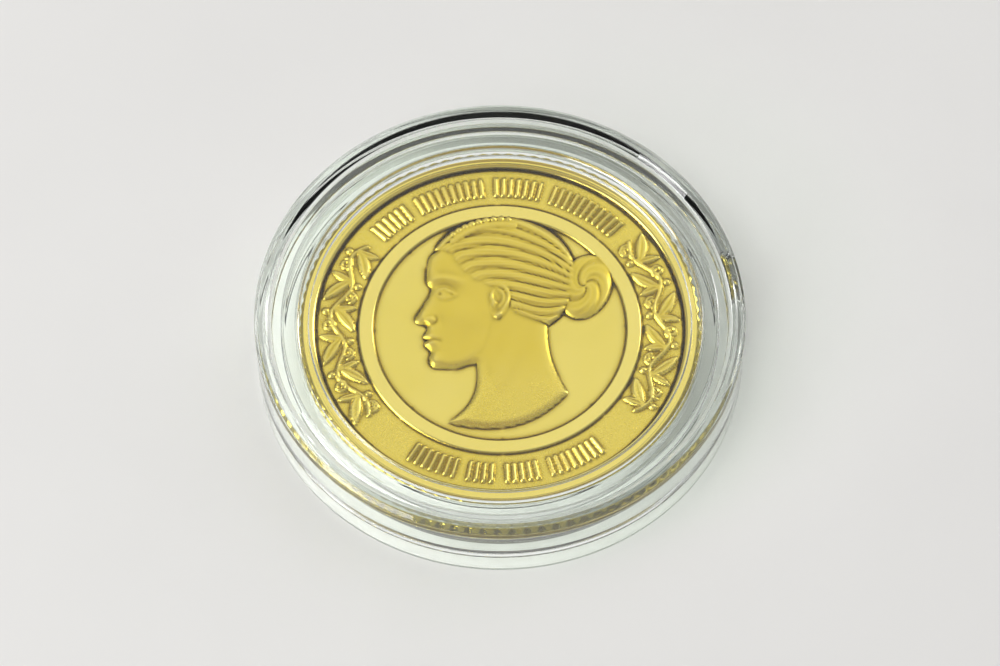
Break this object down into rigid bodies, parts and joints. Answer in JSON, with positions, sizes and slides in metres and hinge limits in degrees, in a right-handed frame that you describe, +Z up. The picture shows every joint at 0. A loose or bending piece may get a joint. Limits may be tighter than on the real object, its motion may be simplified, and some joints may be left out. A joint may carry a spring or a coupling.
{
  "type": "gold commemorative coin in a capsule",
  "caption": "Struck gold coin with a profile bust, plain ring, leaf border and reeded edge, lying sealed in a clear round capsule with a lift-off lid.",
  "frame": {"origin": "middle of the capsule's underside, on the surface it lies on", "axes": "+Z up out of the coin's portrait side, +Y towards the top of the portrait, +X to its right; the bust faces -X"},
  "size_m": [0.033, 0.033, 0.0056],
  "materials": {
    "gold": "polished",
    "clear_plastic": "gloss"
  },
  "bodies": {
    "root": {"coin": "gold", "capsule_base": "clear_plastic", "capsule_lid": "clear_plastic"}
  },
  "joints": []
}
